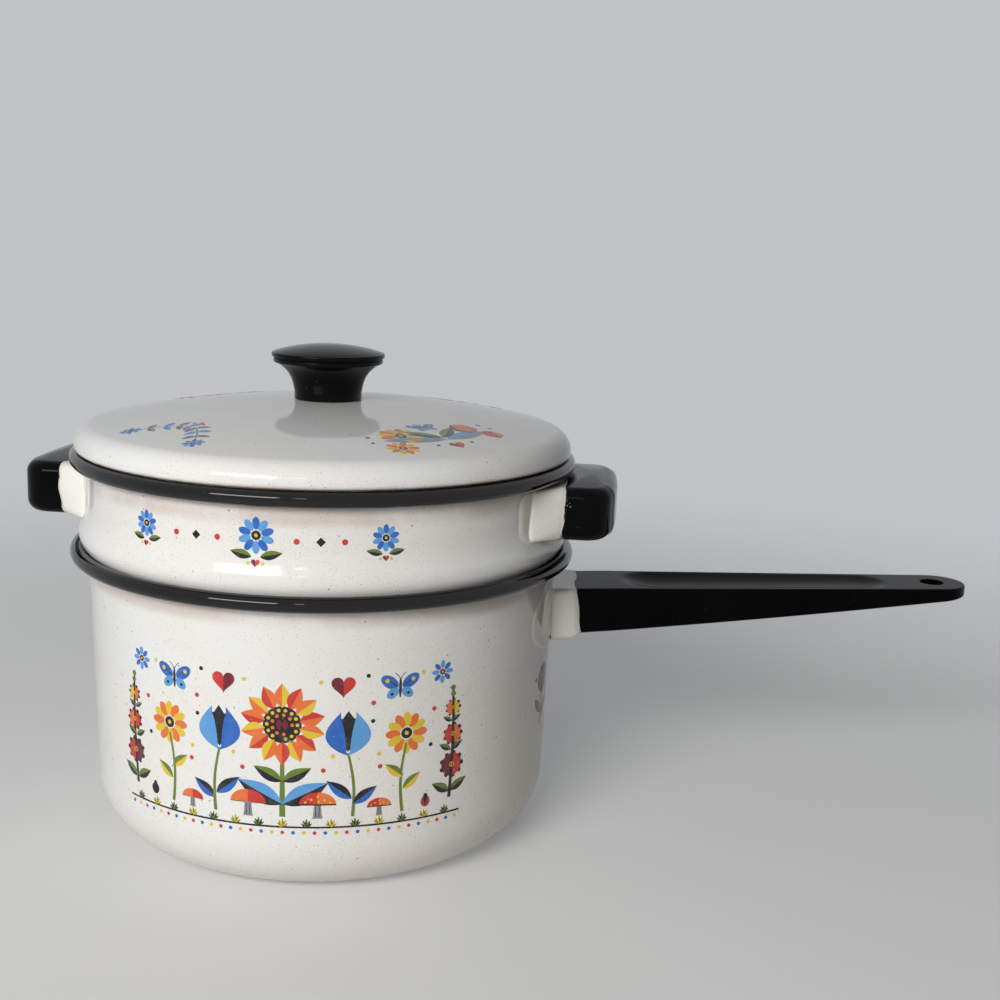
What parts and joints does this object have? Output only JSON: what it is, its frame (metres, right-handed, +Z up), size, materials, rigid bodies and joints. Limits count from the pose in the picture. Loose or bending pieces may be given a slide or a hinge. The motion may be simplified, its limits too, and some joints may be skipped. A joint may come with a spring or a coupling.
{
  "type": "double boiler",
  "caption": "Enamelled steel double boiler: long-handled lower pot, upper pot with side grips hanging in its rim, and a domed lid with a turned knob.",
  "frame": {"origin": "on the pots' common axis, at the underside of the lower pot, where it stands", "axes": "+Z up along the pots' axis, +X along the long handle"},
  "size_m": [0.4044, 0.208, 0.2012],
  "materials": {
    "white_enamel": "gloss",
    "black_phenolic": "gloss",
    "plated_steel": "satin",
    "insert_brass": "satin"
  },
  "bodies": {
    "lower": {"lower_pot": "white_enamel", "handle_bracket": "white_enamel", "long_handle": "black_phenolic", "handle_screw": "plated_steel", "handle_washer": "plated_steel", "handle_insert": "insert_brass"},
    "upper": {"upper_pot": "white_enamel", "right_grip_bracket": "white_enamel", "right_grip": "black_phenolic", "right_grip_screws": "plated_steel", "right_grip_washers": "plated_steel", "right_grip_inserts": "insert_brass", "left_grip_bracket": "white_enamel", "left_grip": "black_phenolic", "left_grip_screws": "plated_steel", "left_grip_washers": "plated_steel", "left_grip_inserts": "insert_brass"},
    "cover": {"lid": "white_enamel", "knob": "black_phenolic", "knob_screw": "plated_steel", "knob_washer": "plated_steel", "knob_insert": "insert_brass"}
  },
  "joints": [
    {"name": "upper_pot_lift", "type": "slide", "parent": "lower", "child": "upper", "axis": [0, 0, 1], "range_m": [0, 0.1]},
    {"name": "lid_lift", "type": "slide", "parent": "upper", "child": "cover", "axis": [0, 0, 1], "range_m": [0, 0.06]}
  ]
}
